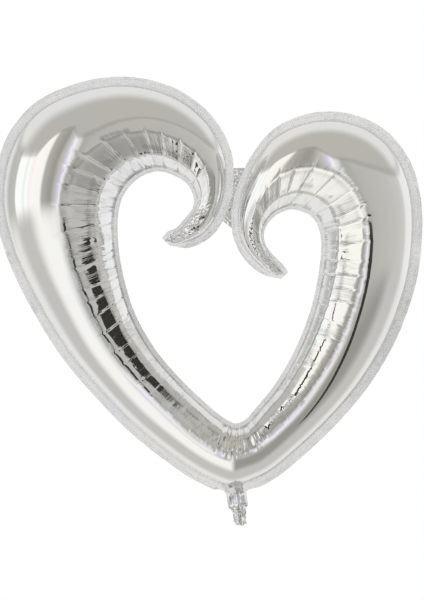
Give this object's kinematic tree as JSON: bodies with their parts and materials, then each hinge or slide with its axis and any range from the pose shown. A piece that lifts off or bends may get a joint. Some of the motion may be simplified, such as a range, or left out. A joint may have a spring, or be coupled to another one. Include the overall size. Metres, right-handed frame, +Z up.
{
  "type": "heart-shaped foil balloon",
  "caption": "Openwork heart balloon of silver metallised film: an inflated tube that curls into hooks at the lobes, with a neck, folding tail and flat valve.",
  "frame": {"origin": "root of the neck, where a ribbon is tied, on the mid-plane of the weld", "axes": "+X to the right seen from the front, -Y out of the front, +Z up to the lobes"},
  "size_m": [0.9, 0.2098, 0.9435],
  "materials": {
    "foil": "mirror-bright vacuum-metallised film",
    "welded_border": "metallised film pressed flat and dulled by the heat weld",
    "valve_film": "clear polyethylene film",
    "release_coating": "thin matt coating"
  },
  "bodies": {
    "envelope": {"front_panel": "foil", "back_panel": "foil", "outer_border_left": "welded_border", "outer_border_right": "welded_border", "inner_border": "welded_border", "hook_bridge": "welded_border", "hook_tip_weld_left": "welded_border", "hook_tip_weld_right": "welded_border", "collar_front_film": "welded_border", "collar_back_film": "welded_border", "collar_side_welds": "welded_border", "valve_root_front_film": "valve_film", "valve_root_back_film": "valve_film", "valve_release_coating": "release_coating"},
    "valve_front_lip": {"valve_front_lip": "valve_film"},
    "valve_back_lip": {"valve_back_lip": "valve_film"},
    "neck": {"neck_front_film": "foil", "neck_back_film": "foil", "neck_side_welds": "welded_border", "neck_valve_front_film": "valve_film", "neck_valve_back_film": "valve_film"},
    "tail": {"tail_front_film": "foil", "tail_back_film": "foil", "tail_side_welds": "welded_border", "tail_valve_front_film": "valve_film", "tail_valve_back_film": "valve_film"}
  },
  "joints": [
    {"name": "neck_fold", "type": "hinge", "parent": "envelope", "child": "neck", "pos_m": [0.00125, 0, -0.0079], "axis": [0.9877, 0, 0.1564], "range_deg": [-90, 90]},
    {"name": "tail_fold", "type": "hinge", "parent": "neck", "child": "tail", "pos_m": [0.00501, 0, -0.03161], "axis": [0.9877, 0, 0.1564], "range_deg": [-60, 60]},
    {"name": "valve_front_opening", "type": "hinge", "parent": "envelope", "child": "valve_front_lip", "pos_m": [-0.00235, 0, 0.01482], "axis": [0.9877, 0, 0.1564], "range_deg": [0, 6], "stiffness_Nm_per_rad": 0.00005},
    {"name": "valve_back_opening", "type": "hinge", "parent": "envelope", "child": "valve_back_lip", "pos_m": [-0.00235, 0, 0.01482], "axis": [0.9877, 0, 0.1564], "range_deg": [-6, 0], "stiffness_Nm_per_rad": 0.00005}
  ],
  "couplings": [
    {"joint": "valve_back_opening", "follows": "valve_front_opening", "ratio": -1}
  ]
}
